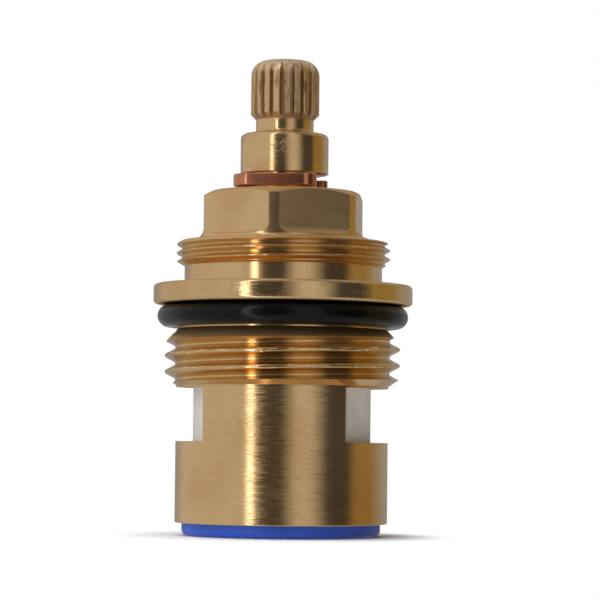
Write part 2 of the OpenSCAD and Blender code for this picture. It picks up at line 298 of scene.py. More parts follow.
def new_material(name, **values):
    """Material with one Principled surface, its constants set on the surface's own sockets."""
    material = bpy.data.materials.new(name)
    material.use_nodes = True
    surface = material.node_tree.nodes["Principled BSDF"]
    for socket, value in values.items():
        surface.inputs[socket.replace("_", " ").title().replace("Ior", "IOR")].default_value = value
    return material


def wire(material, socket, source):
    """Links a node's output to a socket of the material's surface."""
    surface = material.node_tree.nodes["Principled BSDF"]
    material.node_tree.links.new(source, surface.inputs[socket])


def object_place(material, scale):
    """Object coordinates, scaled along each axis."""
    place = add_node(material, "TexCoord").outputs["Object"]
    return add_node(material, "Mapping", {"Vector": place, "Scale": scale}).outputs["Vector"]


def noise(material, place, detail=2.0, rough=0.5):
    """Noise over coordinates that are scaled already."""
    sockets = {"Vector": place, "Scale": 1.0, "Detail": detail, "Roughness": rough}
    return add_node(material, "TexNoise", sockets).outputs["Fac"]


def spread(material, value, low, high, to_low=0.0, to_high=1.0):
    """Maps a value's range onto another one, and holds it there."""
    sockets = {"Value": value, "From Min": low, "From Max": high, "To Min": to_low, "To Max": to_high}
    return add_node(material, "MapRange", sockets, interpolation_type="SMOOTHSTEP").outputs["Result"]


def math_node(material, operation, first, second):
    """Arithmetic on two values."""
    node = add_node(material, "Math", operation=operation)
    feed(material, node.inputs[0], first)
    feed(material, node.inputs[1], second)
    return node.outputs["Value"]


def plus(material, first, second):
    """Sum of two values."""
    return math_node(material, "ADD", first, second)


def times(material, first, second):
    """Product of two values."""
    return math_node(material, "MULTIPLY", first, second)


def patches(material, per_metre, low, high, detail=2.0, rough=0.5):
    """Noise with so many cells to the metre along X, Y and Z, 0 below low and 1 above high."""
    return spread(material, noise(material, object_place(material, per_metre), detail, rough), low, high)


def emboss(material, relief, depth, strength=0.6):
    """Shades a height as relief, where a height of 1 stands out by the given depth."""
    bump = add_node(material, "Bump", {"Height": relief, "Distance": depth, "Strength": strength})
    wire(material, "Normal", bump.outputs["Normal"])


def blend_colours(material, amount, first, second):
    """Mixes two colours by an amount from 0 to 1."""
    node = add_node(material, "Mix", data_type="RGBA")
    sockets = {"Factor_Float": amount, "A_Color": first, "B_Color": second}
    for socket in node.inputs:
        if socket.identifier in sockets:
            feed(material, socket, sockets[socket.identifier])
    return next(s for s in node.outputs if s.identifier == "Result_Color")


def height(material):
    """Height above the seal's foot."""
    place = add_node(material, "TexCoord").outputs["Object"]
    return add_node(material, "SeparateXYZ", {"Vector": place}).outputs["Z"]


def from_axis(material):
    """Distance from the spindle's axis."""
    flat = object_place(material, (1, 1, 0))
    return add_node(material, "VectorMath", {"Vector": flat}, operation="LENGTH").outputs["Value"]


def tool_lines(material, around, across, detail=3.0):
    """Noise drawn out along the circles that a lathe tool leaves, on round faces and end faces alike."""
    face_feed = 0.7
    place = add_node(material, "TexCoord").outputs["Object"]
    axes = add_node(material, "SeparateXYZ", {"Vector": place}).outputs
    travel = plus(material, axes["Z"], times(material, from_axis(material), face_feed))
    path = add_node(material, "CombineXYZ", {"X": axes["X"], "Y": axes["Y"], "Z": travel})
    sockets = {"Vector": path.outputs["Vector"], "Scale": (around, around, across)}
    scaled = add_node(material, "Mapping", sockets)
    return noise(material, scaled.outputs["Vector"], detail)


BRASS = (0.85, 0.575, 0.285, 1)
BRASS_WARM = (0.78, 0.49, 0.23, 1)
BRASS_PIT = (0.20, 0.12, 0.06, 1)
# Darker line colour, painted as shade of the brushed tool lines.
BRASS_LINE_SHADE = (0.42, 0.275, 0.13, 1)
# Lighter crest colour, partly real wear and partly painted glint.
BRASS_WORN_GLINT = (0.97, 0.80, 0.56, 1)
# Darker, warmer thread colour, painted as shade in the thread grooves.
THREAD_BRASS_SHADE = (0.74, 0.49, 0.225, 1)


def between(material, low, high):
    """1 between two heights and 0 outside them, with soft ends."""
    soft = 0.3 * MM
    above = spread(material, height(material), low - soft, low)
    below = spread(material, height(material), high, high + soft, to_low=1.0, to_high=0.0)
    return times(material, above, below)


def faced(material):
    """1 on faces that look up or down, 0 on upright ones."""
    steep = 0.35
    level = 0.65
    normal = add_node(material, "NewGeometry").outputs["Normal"]
    upward = add_node(material, "SeparateXYZ", {"Vector": normal}).outputs["Z"]
    return spread(material, math_node(material, "ABSOLUTE", upward, 0.0), steep, level)


def knocks(material):
    """Scattered small dents from handling, as a height in the unit of the tool lines."""
    dent_depth = -5.0
    areas = patches(material, (330, 330, 330), low=0.5, high=0.62, detail=3.0)
    dents = patches(material, (4600, 4600, 6500), low=0.58, high=0.68, detail=3.0)
    return times(material, times(material, areas, dents), dent_depth)


def crest(material, low_z, high_z, crest_r, wear_start, wear_end):
    """1 on a thread's crest between two heights, and 0 from a small depth below it."""
    outside = spread(material, from_axis(material), crest_r - wear_start, crest_r - wear_end)
    return times(material, between(material, low_z, high_z), outside)


def swung_normal(material, swing):
    """Surface normal, swung sideways about the spindle's axis by a value."""
    def vector(operation, sockets):
        return add_node(material, "VectorMath", sockets, operation=operation).outputs["Vector"]
    normal = add_node(material, "NewGeometry").outputs["Normal"]
    sideways = vector("CROSS_PRODUCT", {0: (0, 0, 1), 1: normal})
    shift = vector("SCALE", {0: sideways, "Scale": swing})
    return vector("NORMALIZE", {0: vector("ADD", {0: normal, 1: shift})})


flange_brushing = 0.9
hexagon_brushing = 0.4
least_brushing = 0.1
line_depth = 0.0014 * MM
line_swing = 0.105
noise_middle = 0.5
nick_depth = -14.0
brass_rough = 0.15
end_face_rough = 0.3
hexagon_rough = 0.04
thread_polish = -0.03
flange_polish = -0.06


def brass(name):
    """Turned brass: brushed sleeve and flange, nicked crests, coarser end faces, stains, tiny pits,
    painted shade in threads and tool lines, and crests lighter as wear and painted glint.
    """
    material = new_material(name, metallic=1.0)
    stains = patches(material, (140, 140, 140), low=0.38, high=0.66, detail=4.0)
    pits = patches(material, (2600, 2600, 2600), low=0.74, high=0.78)
    in_thread = plus(material, between(material, thread_z, groove_z - thread_lead),
                     between(material, cover_z, shoulder_z - cover_lead))
    on_flange = between(material, flange_z, relief_z)
    on_hexagon = spread(material, height(material), shoulder_z, flat_z)
    brushed = plus(material, between(material, rim_z, thread_z),
                   times(material, on_flange, flange_brushing))
    brushed = plus(material, brushed, times(material, on_hexagon, hexagon_brushing))
    brushed = math_node(material, "MAXIMUM", brushed, least_brushing)
    rings = tool_lines(material, around=60, across=6000)
    streaks = tool_lines(material, around=600, across=6500)
    # Dark dashes along the tool lines are painted shade, standing in for the changing reflections of the
    # brushed lines.
    line_shade = times(material, spread(material, streaks, low=0.46, high=0.66, to_high=0.08), brushed)
    crests = plus(
        material,
        crest(material, thread_z, groove_z, thread_r, wear_start=0.14 * MM, wear_end=0.05 * MM),
        crest(material, cover_z, shoulder_z, cover_r, wear_start=0.09 * MM, wear_end=0.03 * MM),
    )
    nicks = times(material, patches(material, (800, 800, 5200), low=0.55, high=0.68), crests)
    colour = blend_colours(material, stains, BRASS, BRASS_WARM)
    # The threads are painted a darker, warmer brass all over, as painted shade in their grooves.
    colour = blend_colours(material, in_thread, colour, THREAD_BRASS_SHADE)
    colour = blend_colours(material, line_shade, colour, BRASS_LINE_SHADE)
    # The nicked crests are painted lighter, partly as worn brass and partly as painted glints along the
    # crests.
    colour = blend_colours(material, nicks, colour, BRASS_WORN_GLINT)
    wire(material, "Base Color", blend_colours(material, pits, colour, BRASS_PIT))
    lines = times(material, plus(material, rings, streaks), brushed)
    scuffs = plus(material, times(material, knocks(material), on_flange),
                  times(material, nicks, nick_depth))
    swing = math_node(material, "SUBTRACT", tool_lines(material, around=420, across=9500), noise_middle)
    swing = times(material, times(material, swing, line_swing), brushed)
    bump = add_node(material, "Bump", {"Height": plus(material, lines, scuffs), "Distance": line_depth,
                                       "Strength": 1.0, "Normal": swung_normal(material, swing)})
    wire(material, "Normal", bump.outputs["Normal"])
    coarse = spread(material, streaks, low=0.4, high=0.7, to_low=0.01, to_high=0.12)
    coarse = times(material, coarse, brushed)
    end_faces = math_node(material, "SUBTRACT", faced(material), in_thread)
    end_faces = times(material, math_node(material, "MAXIMUM", end_faces, 0.0), end_face_rough)
    polish = plus(material, times(material, in_thread, thread_polish),
                  times(material, on_flange, flange_polish))
    polish = plus(material, polish, times(material, on_hexagon, hexagon_rough))
    rough = plus(material, plus(material, coarse, end_faces), polish)
    wire(material, "Roughness", plus(material, rough, brass_rough))
    return material


def finish(piece, material, angle=20):
    """Smooths a piece but for its edges, and gives it its material."""
    pick(piece)
    bpy.ops.object.shade_smooth_by_angle(angle=math.radians(angle))
    piece.data.name = piece.name
    piece.data.materials.clear()
    piece.data.materials.append(material)


finish(headwork_body, brass("body_brass"))
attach(headwork_body, "housing")
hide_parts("headwork_body")

# Outer O-ring
# Moulded nitrile rubber ring in the groove under the flange, which seals the tap body's mouth.
# The two halves of its mould leave a fine line round the outside.
ring_low, ring_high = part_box("body_o_ring")
ring_thick_r = (ring_high[2] - ring_low[2]) / 2
ring_mid_z = (ring_high[2] + ring_low[2]) / 2
ring_mid_r = ring_high[0] - ring_thick_r
seam_half = 2.2
seam_dip = 0.025 * MM
ring_outline = arc(ring_mid_r, ring_mid_z, ring_thick_r, seam_half, 360 - seam_half, step=7)
body_o_ring = turn_on_lathe("body_o_ring_rubber", [
    *ring_outline,
    (ring_mid_r + ring_thick_r - seam_dip, ring_mid_z),
    ring_outline[0],
])

RUBBER_BLACK = (0.001, 0.001, 0.0011, 1)
RUBBER_GREY = (0.003, 0.003, 0.0033, 1)
RUBBER_DUST = (0.20, 0.19, 0.18, 1)


def black_rubber(name):
    """Black rubber with a soft gloss, cloudy bloom and a few specks of dust."""
    material = new_material(name, specular_ior_level=0.24)
    bloom = patches(material, (260, 260, 500), low=0.35, high=0.75, detail=4.0)
    dust = patches(material, (1900, 1900, 1900), low=0.765, high=0.79)
    colour = blend_colours(material, bloom, RUBBER_BLACK, RUBBER_GREY)
    wire(material, "Base Color", blend_colours(material, dust, colour, RUBBER_DUST))
    wire(material, "Roughness", spread(material, bloom, 0.0, 1.0, to_low=0.14, to_high=0.22))
    skin = noise(material, object_place(material, (1500, 1500, 1500)), detail=3.0)
    emboss(material, skin, depth=0.006 * MM)
    return material


rubber = black_rubber("black_rubber")
finish(body_o_ring, rubber, angle=60)
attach(body_o_ring, "housing")
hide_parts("body_o_ring")

# Stem O-rings
# Two small rubber rings in the spindle's grooves, squeezed between the groove's floor and the bore.
# They keep the water below the handle.
ring_corner = 0.45 * MM
ring_width = 1.32 * MM
for ring_name in ("lower_stem_ring", "upper_stem_ring"):
    stem_low, stem_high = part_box(ring_name)
    outer_r = stem_high[0]
    inner_r = outer_r - ring_width
    stem_ring = turn_on_lathe(ring_name + "_rubber", [
        *arc(inner_r + ring_corner, stem_low[2] + ring_corner, ring_corner, 180, 270),
        *arc(outer_r - ring_corner, stem_low[2] + ring_corner, ring_corner, 270, 360),
        *arc(outer_r - ring_corner, stem_high[2] - ring_corner, ring_corner, 0, 90),
        *arc(inner_r + ring_corner, stem_high[2] - ring_corner, ring_corner, 90, 180),
        (inner_r, stem_low[2] + ring_corner),
    ])
    finish(stem_ring, rubber, angle=40)
    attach(stem_ring, "turning_spindle")
    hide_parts(ring_name)

# Slip ring
# Turned plastic washer between the spindle's drive flange and the body.
# It lets the spindle turn easily while water pressure pushes it up.
slip_low, slip_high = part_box("slip_ring")
slip_edge = 0.1 * MM
slip_r = slip_high[0]
slip_bore_r = bore_r + 0.2 * MM
slip_ring = turn_on_lathe("slip_ring_plastic", [
    *arc(slip_bore_r + slip_edge, slip_low[2] + slip_edge, slip_edge, 180, 270, step=30),
    *arc(slip_r - slip_edge, slip_low[2] + slip_edge, slip_edge, 270, 360, step=30),
    *arc(slip_r - slip_edge, slip_high[2] - slip_edge, slip_edge, 0, 90, step=30),
    *arc(slip_bore_r + slip_edge, slip_high[2] - slip_edge, slip_edge, 90, 180, step=30),
    (slip_bore_r, slip_low[2] + slip_edge),
])

SLIP_PALE = (0.82, 0.80, 0.74, 1)
SLIP_SHADE = (0.74, 0.72, 0.66, 1)


def pale_plastic(name, light, dark):
    """Pale acetal with faint clouds and the fine rings that turning or moulding leaves."""
    material = new_material(name, specular_ior_level=0.45)
    clouds = patches(material, (300, 300, 300), low=0.3, high=0.7, detail=3.0)
    wire(material, "Base Color", blend_colours(material, clouds, light, dark))
    rings = tool_lines(material, around=50, across=5000)
    wire(material, "Roughness", spread(material, rings, low=0.3, high=0.7, to_low=0.36, to_high=0.5))
    emboss(material, rings, depth=0.004 * MM)
    return material


finish(slip_ring, pale_plastic("slip_plastic", SLIP_PALE, SLIP_SHADE), angle=40)
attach(slip_ring, "housing")
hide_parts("slip_ring")

# Spindle
# Turned brass with a drive flange and tang at its foot, two O-ring grooves, a collar and a splined
# head for the handle. The 20 splines are cut into the head, which is drilled for the handle's screw.
tang_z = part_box("spindle")[0][2]
crown_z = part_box("spindle")[1][2]
tang_h = 1.6 * MM
drive_z = tang_z + tang_h
drive_top_z = drive_z + 2.4 * MM
drive_r = 9.85 * MM
drive_edge = 0.2 * MM
stem_r = 4.95 * MM
gland_r = 3.6 * MM
gland_w = 2.4 * MM
upper_gland_z = hex_top_z - 3.2 * MM - gland_w
lower_gland_z = upper_gland_z - 4.6 * MM
clip_low, clip_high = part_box("retaining_clip")
clip_groove_r = 3.65 * MM
collar_z = clip_high[2] + 0.3 * MM
collar_edge = 0.6 * MM
collar_foot = 0.12 * MM
neck_z = collar_z + 4.55 * MM
neck_r = 3.25 * MM
neck_fillet = 0.5 * MM
spline_z = neck_z + 1.6 * MM
spline_r = 3.85 * MM
spline_lead = spline_r - neck_r
crown_r = 1.75 * MM
screw_r = 1.65 * MM
screw_lead = 0.4 * MM
screw_depth = 8.0 * MM
drill_tip = 0.9 * MM
spindle = turn_on_lathe("spindle_brass_stem", [
    (0, drive_z),
    (drive_r - drive_edge, drive_z),
    (drive_r, drive_z + drive_edge),
    (drive_r, drive_top_z - drive_edge),
    (drive_r - drive_edge, drive_top_z),
    (stem_r, drive_top_z),
    (stem_r, lower_gland_z),
    (gland_r, lower_gland_z),
    (gland_r, lower_gland_z + gland_w),
    (stem_r, lower_gland_z + gland_w),
    (stem_r, upper_gland_z),
    (gland_r, upper_gland_z),
    (gland_r, upper_gland_z + gland_w),
    (stem_r, upper_gland_z + gland_w),
    (stem_r, clip_low[2]),
    (clip_groove_r, clip_low[2]),
    (clip_groove_r, collar_z),
    *arc(stem_r - collar_foot, collar_z + collar_foot, collar_foot, -90, 0, step=30),
    *arc(stem_r - collar_edge, neck_z - collar_edge, collar_edge, 0, 90),
    *arc(neck_r + neck_fillet, neck_z + neck_fillet, neck_fillet, 270, 180),
    (neck_r, spline_z),
    (spline_r, spline_z + spline_lead),
    *arc(spline_r - crown_r, crown_z - crown_r, crown_r, 0, 90, step=6),
    (screw_r + screw_lead, crown_z),
    (screw_r, crown_z - screw_lead),
    (screw_r, crown_z - screw_depth),
    (0, crown_z - screw_depth - drill_tip),
])

lug_half = 20
lug_r = 7.65 * MM
lug_top_z = channel_z - 0.2 * MM
for side in (45, 225):
    lug = sector("stop_lug", lug_r, drive_r, drive_top_z - sunk, lug_top_z, side, lug_half)
    combine(spindle, lug, "UNION")
tang_half_l = 7.5 * MM
tang_half_w = 2.3 * MM
tang_outline = rectangle(-tang_half_l, tang_z, tang_half_l, drive_z + tang_h / 2)
combine(spindle, extrude_outline("tang", tang_outline, -tang_half_w, tang_half_w), "UNION")

teeth = 20
root_r = spline_r - 0.55 * MM
root_half = 0.07 * MM
mouth_half = 0.25 * MM
tip_round = 0.06 * MM
for tooth in range(teeth):
    groove = extrude_outline("spline_groove", [
        (root_r, -root_half),
        (spline_r - tip_round, -mouth_half),
        (spline_r, -mouth_half - tip_round),
        (spline_r + past_edge, -mouth_half - tip_round),
        (spline_r + past_edge, mouth_half + tip_round),
        (spline_r, mouth_half + tip_round),
        (spline_r - tip_round, mouth_half),
        (root_r, root_half),
        (root_r, -root_half),
    ], spline_z - past_edge / 2, crown_z + past_edge, flat=True)
    combine(spindle, turn_piece(groove, tooth * 360 / teeth))

SPLINE_BRASS = (0.72, 0.495, 0.27, 1)
SPLINE_PIT = (0.40, 0.255, 0.13, 1)
# Darker root colour, painted as shade deep in the spline grooves.
SPLINE_ROOT_SHADE = (0.56, 0.375, 0.21, 1)
# Lighter crown colour, painted as light falling on the top of the crown.
SPLINE_CROWN_LIGHT = (0.92, 0.70, 0.45, 1)
ring_height = 0.3
spline_grain = 3.5
crown_nicks = 8.0
spline_nicks = 2.0
collar_knocks = 0.5
spline_metal = 0.95
spline_rough = 0.27
crown_polish = 0.2
spline_foot = 0.3 * MM
groove_floor = 0.15 * MM
tooth_top = 0.1 * MM


def spindle_brass(name):
    """Bright turned brass below, and a duller skin with small dents on the splines, painted shade in
    their roots and painted light on the crown.
    """
    material = new_material(name, metallic=1.0)
    on_splines = spread(material, height(material), spline_z - spline_foot, spline_z + tooth_top)
    on_crown = spread(material, height(material), crown_z - crown_r, crown_z - crown_r / 2)
    # The groove roots are painted darker as painted shade, except on the crown.
    root_shade = spread(material, from_axis(material), root_r + groove_floor, spline_r - tooth_top,
                  to_low=1.0, to_high=0.0)
    root_shade = times(material, root_shade, math_node(material, "SUBTRACT", 1.0, on_crown))
    stains = patches(material, (260, 260, 260), low=0.36, high=0.68, detail=4.0)
    pits = patches(material, (2600, 2600, 700), low=0.5, high=0.7)
    colour = blend_colours(material, stains, BRASS, BRASS_WARM)
    skin = blend_colours(material, pits, SPLINE_BRASS, SPLINE_PIT)
    skin = blend_colours(material, root_shade, skin, SPLINE_ROOT_SHADE)
    # The crown is painted lighter, as painted light on its top.
    skin = blend_colours(material, on_crown, skin, SPLINE_CROWN_LIGHT)
    wire(material, "Base Color", blend_colours(material, on_splines, colour, skin))
    rings = times(material, tool_lines(material, around=60, across=7000), ring_height)
    grain = noise(material, object_place(material, (2600, 2600, 420)), detail=1.0)
    grain = times(material, grain, times(material, on_splines, spline_grain))
    nicked = plus(material, times(material, on_crown, crown_nicks),
                  times(material, on_splines, spline_nicks))
    nicks = patches(material, (2600, 2600, 1700), low=0.54, high=0.64, detail=1.0)
    nicks = times(material, nicks, nicked)
    on_collar = times(material, between(material, collar_z, neck_z), collar_knocks)
    scuffs = times(material, knocks(material), on_collar)
    relief = plus(material, plus(material, rings, plus(material, grain, nicks)), scuffs)
    emboss(material, relief, depth=0.008 * MM, strength=1.0)
    wire(material, "Metallic", spread(material, on_splines, 0.0, 1.0, to_low=1.0, to_high=spline_metal))
    streaks = tool_lines(material, around=300, across=8000)
    gloss = spread(material, streaks, low=0.4, high=0.72, to_low=0.15, to_high=0.24)
    dull = math_node(material, "SUBTRACT", times(material, on_splines, spline_rough),
                     times(material, on_crown, crown_polish))
    wire(material, "Roughness", plus(material, gloss, dull))
    return material


finish(spindle, spindle_brass("spindle_brass"))
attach(spindle, "turning_spindle")
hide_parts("spindle")

# Retaining clip
# Clip punched from phosphor bronze strip and pushed sideways into the spindle's groove.
# It rests on the hexagon and keeps the spindle from dropping into the body.
clip_half = 5.75 * MM
clip_back = 5.1 * MM
clip_reach = 4.3 * MM
clip_slot = clip_groove_r + 0.03 * MM
clip_lead = 0.4 * MM
back_r = 1.9 * MM
tip_r = 1.5 * MM
clip_turn = -3.5
clip_round = 0.13 * MM
arm_side = [
    *arc(0, 0, clip_slot, 180, 90),
    (clip_reach - clip_lead, clip_slot),
    (clip_reach, clip_slot + clip_lead),
    *arc(clip_reach - tip_r, clip_half - tip_r, tip_r, 0, 90),
    *arc(back_r - clip_back, clip_half - back_r, back_r, 90, 180),
]
clip_outline = arm_side + [(x, -y) for x, y in reversed(arm_side)]
retaining_clip = extrude_outline("retaining_clip_bronze", clip_outline, clip_low[2], clip_high[2],
                                 flat=True)
turn_piece(retaining_clip, clip_turn)
edge = retaining_clip.modifiers.new("rolled_edges", "BEVEL")
edge.width = clip_round
edge.segments = 3
edge.limit_method = "ANGLE"
edge.angle_limit = math.radians(40)
bpy.ops.object.modifier_apply(modifier=edge.name)

BRONZE = (0.75, 0.315, 0.17, 1)
BRONZE_BROWN = (0.55, 0.21, 0.11, 1)


def bronze(name):
    """Satin bronze strip, browned a little, with a fine grain."""
    material = new_material(name, metallic=1.0)
    stains = patches(material, (500, 500, 900), low=0.34, high=0.68, detail=5.0, rough=0.6)
    wire(material, "Base Color", blend_colours(material, stains, BRONZE, BRONZE_BROWN))
    wire(material, "Roughness", spread(material, stains, 0.0, 1.0, to_low=0.17, to_high=0.26))
    grain = noise(material, object_place(material, (2600, 2600, 4500)))
    emboss(material, grain, depth=0.008 * MM, strength=1.0)
    return material


finish(retaining_clip, bronze("clip_bronze"))
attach(retaining_clip, "turning_spindle")
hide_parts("retaining_clip")

# Ceramic discs
# Two discs of sintered alumina, lapped flat on each other. The lower one is keyed in the sleeve;
# the upper one is driven by the spindle's tang and shows through the outlet ports.
control_low, control_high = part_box("control_disc")
inlet_low, inlet_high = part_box("inlet_disc")
disc_r = control_high[0]
disc_edge = 0.15 * MM
core_r = 3.6 * MM
opening_z = port_high_z - 0.5 * MM
slot_half_l = 7.7 * MM
slot_half_w = 2.35 * MM
slot_z = tang_z - 0.2 * MM
opening_half = 42


def disc_blank(name, low_z, high_z):
    """Plain disc with small chamfers, closed on the axis."""
    return turn_on_lathe(name, [
        (0, low_z),
        (disc_r - disc_edge, low_z),
        (disc_r, low_z + disc_edge),
        (disc_r, high_z - disc_edge),
        (disc_r - disc_edge, high_z),
        (0, high_z),
    ])


control_disc = disc_blank("control_disc_ceramic", control_low[2], control_high[2])
for side in (-90, 90):
    opening = sector("side_opening", core_r, disc_r + past_edge, control_low[2] - past_edge, opening_z,
                     side, opening_half)
    combine(control_disc, opening)
slot_outline = rectangle(-slot_half_l, slot_z, slot_half_l, control_high[2] + past_edge)
combine(control_disc, extrude_outline("drive_slot", slot_outline, -slot_half_w, slot_half_w))

inlet_disc = disc_blank("inlet_disc_ceramic", inlet_low[2], inlet_high[2])
disc_key_half = key_half - 0.03 * MM
disc_key_h = key_h - 0.03 * MM
disc_key_outline = rectangle(-disc_key_half, inlet_low[2] + disc_edge / 2,
                             disc_key_half, inlet_low[2] + disc_key_h)
disc_key = extrude_outline("disc_key", disc_key_outline, inlet_low[1], inlet_high[1])
combine(inlet_disc, disc_key, "UNION")
inlet_reach = 7.8 * MM
inlet_half = 38
for side in (0, 180):
    water_port = sector("water_port", core_r, inlet_reach, inlet_low[2] - past_edge,
                        inlet_high[2] + past_edge, side, inlet_half)
    combine(inlet_disc, water_port)

CERAMIC_WHITE = (0.82, 0.79, 0.74, 1)
CERAMIC_SHADE = (0.74, 0.71, 0.655, 1)


def ceramic(name):
    """White alumina with a fine satin grain and the faintest clouds."""
    material = new_material(name, specular_ior_level=0.5)
    clouds = patches(material, (420, 420, 420), low=0.32, high=0.7, detail=4.0)
    wire(material, "Base Color", blend_colours(material, clouds, CERAMIC_WHITE, CERAMIC_SHADE))
    grain = noise(material, object_place(material, (5200, 5200, 5200)), detail=3.0)
    wire(material, "Roughness", spread(material, grain, low=0.3, high=0.7, to_low=0.3, to_high=0.42))
    emboss(material, grain, depth=0.003 * MM)
    return material


white_ceramic = ceramic("white_ceramic")
discs = ((control_disc, "control_disc", "turning_disc"), (inlet_disc, "inlet_disc", "housing"))
for disc, node, body in discs:
    finish(disc, white_ceramic)
    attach(disc, body)
    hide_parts(node)

# Inlet seal
# Blue moulded silicone ring that stands out below the sleeve and meets the seat of the tap.
# A stiff plastic ring, moulded by itself, sits on its lip and keeps it from folding inwards.
seal_low, seal_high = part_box("inlet_seal")
support_low, support_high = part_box("seal_support_ring")
seal_r = seal_high[0]
seal_edge = 0.7 * MM
support_r = support_high[0]
support_bore_r = 8.0 * MM
rebate_r = support_r + 0.03 * MM
lip_r = support_bore_r + 0.2 * MM
lip_edge = 0.2 * MM
support_edge = 0.15 * MM
inlet_seal = turn_on_lathe("inlet_seal_silicone", [
    *arc(lip_r + lip_edge, seal_low[2] + lip_edge, lip_edge, 180, 270, step=15),
    *arc(seal_r - seal_edge, seal_low[2] + seal_edge, seal_edge, 270, 360),
    (seal_r, seal_high[2]),
    (rebate_r, seal_high[2]),
    (rebate_r, support_low[2]),
    (lip_r, support_low[2]),
    (lip_r, seal_low[2] + lip_edge),
])
seal_support = turn_on_lathe("seal_support_plastic", [
    *arc(support_bore_r + support_edge, support_low[2] + support_edge, support_edge, 180, 270, step=15),
    (support_r, support_low[2]),
    (support_r, support_high[2]),
    (support_bore_r, support_high[2]),
    (support_bore_r, support_low[2] + support_edge),
])

SILICONE_BLUE = (0.032, 0.122, 0.71, 1)
SILICONE_DEEP = (0.027, 0.104, 0.62, 1)
SILICONE_DUST = (0.16, 0.24, 0.56, 1)
SUPPORT_PALE = (0.78, 0.77, 0.73, 1)
SUPPORT_SHADE = (0.70, 0.69, 0.65, 1)


def silicone(name):
    """Blue silicone, satin, with soft clouds and a little pale dust."""
    material = new_material(name, specular_ior_level=0.4)
    clouds = patches(material, (320, 320, 320), low=0.3, high=0.7, detail=4.0)
    dust = patches(material, (1700, 1700, 1700), low=0.76, high=0.82, detail=3.0)
    colour = blend_colours(material, clouds, SILICONE_BLUE, SILICONE_DEEP)
    wire(material, "Base Color", blend_colours(material, dust, colour, SILICONE_DUST))
    skin = noise(material, object_place(material, (2400, 2400, 2400)), detail=3.0)
    wire(material, "Roughness", spread(material, skin, low=0.3, high=0.7, to_low=0.34, to_high=0.48))
    emboss(material, skin, depth=0.006 * MM)
    return material


finish(inlet_seal, silicone("blue_silicone"), angle=40)
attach(inlet_seal, "housing")
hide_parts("inlet_seal")
finish(seal_support, pale_plastic("support_plastic", SUPPORT_PALE, SUPPORT_SHADE), angle=40)
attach(seal_support, "housing")
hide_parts("seal_support_ring")

# Camera
# Long lens level with the outlet ports and a little to the right of the front pillar, as the
# photograph has it. The picture is 600 pixels wide.
IMAGE_WIDTH = 600
camera_turn = math.radians(5.5)
camera_distance = 0.315
eye_z = 11.2 * MM
focal_pixels = 2805
above_eye_pixels = 136
right_pixels = 16.95
camera_roll = math.radians(0.59)
sensor_width = 36
nearest_seen = 0.01
to_eye = Vector((math.sin(camera_turn), -math.cos(camera_turn), 0))
to_right = Vector((math.cos(camera_turn), math.sin(camera_turn), 0))
metres_per_pixel = camera_distance / focal_pixels
eye = to_eye * camera_distance + Vector((0, 0, eye_z))
aim = to_right * right_pixels * metres_per_pixel
aim.z = eye_z + above_eye_pixels * metres_per_pixel
bpy.ops.object.camera_add()
camera = bpy.context.object
camera.data.sensor_width = sensor_width
camera.data.lens = focal_pixels * sensor_width / IMAGE_WIDTH
camera.data.clip_start = nearest_seen
facing = (aim - eye).to_track_quat("-Z", "Y").to_matrix().to_4x4()
camera.matrix_world = Matrix.Translation(eye) @ facing @ Matrix.Rotation(camera_roll, 4, "Z")
bpy.context.scene.camera = camera
bpy.context.scene.view_settings.view_transform = "Standard"

# Surround
# Drum of studio cards round the object, with soft edges between the cards and a bright strip light.
# It shows only in reflections, so the brass has its light and dark bands.
card_radius = 0.5
card_reach = 0.3
even_from = 0.2
front = math.atan2(to_eye.y, to_eye.x)
WHITE_CARD = (0.55, 0.55, 0.55, 1)
GREY_WALL = (0.35, 0.35, 0.35, 1)
BLACK_CLOTH = (0.06, 0.06, 0.06, 1)
GOLD_BOARD = (0.30, 0.23, 0.10, 1)
# Each card has a name, the turns in degrees from the front where it starts and ends, and its light.
CARDS = [
    ("back wall", -180, -150, GREY_WALL),
    ("left wall", -130, -50, WHITE_CARD),
    ("front cloth", -20, 0, BLACK_CLOTH),
    ("right panel", 15, 30, WHITE_CARD),
    ("right cloth", 50, 75, BLACK_CLOTH),
    ("gold board", 85, 110, GOLD_BOARD),
    ("back wall", 130, 180, GREY_WALL),
]
EVEN_LIGHT = (0.5, 0.5, 0.5, 1)
even_above_share = 0.25
even_below_share = 0.6
strip_turn = -33
strip_half = 3.5
strip_z = 0.28
strip_r = 0.45
strip_inner_r = 0.06
strip_thick = 0.005
strip_level = 2.5
STRIP_LIGHT = (1, 1, 1, 1)


def along_drum(turn):
    """Share of the way round the drum, 0.5 at the front, for a turn in degrees to the right."""
    return turn / 360 + 0.5


def card_row(material, around):
    """Light of the cards round the drum, with soft edges between them."""
    ramp = add_node(material, "ValToRGB", {"Fac": around})
    edges = [(turn, light) for _, start, end, light in CARDS for turn in (start, end)]
    for turn, _ in edges[1:-1]:
        ramp.color_ramp.elements.new(along_drum(turn))
    for stop, (_, light) in zip(ramp.color_ramp.elements, edges):
        stop.color = light
    return ramp.outputs["Color"]


def empty_material(name):
    """Material with no nodes yet."""
    material = bpy.data.materials.new(name)
    material.use_nodes = True
    material.node_tree.nodes.clear()
    return material


def glow(material, colour, strength):
    """Makes an empty material shine."""
    emission = add_node(material, "Emission", {"Color": colour, "Strength": strength})
    output = add_node(material, "OutputMaterial")
    material.node_tree.links.new(emission.outputs["Emission"], output.inputs["Surface"])
    return material


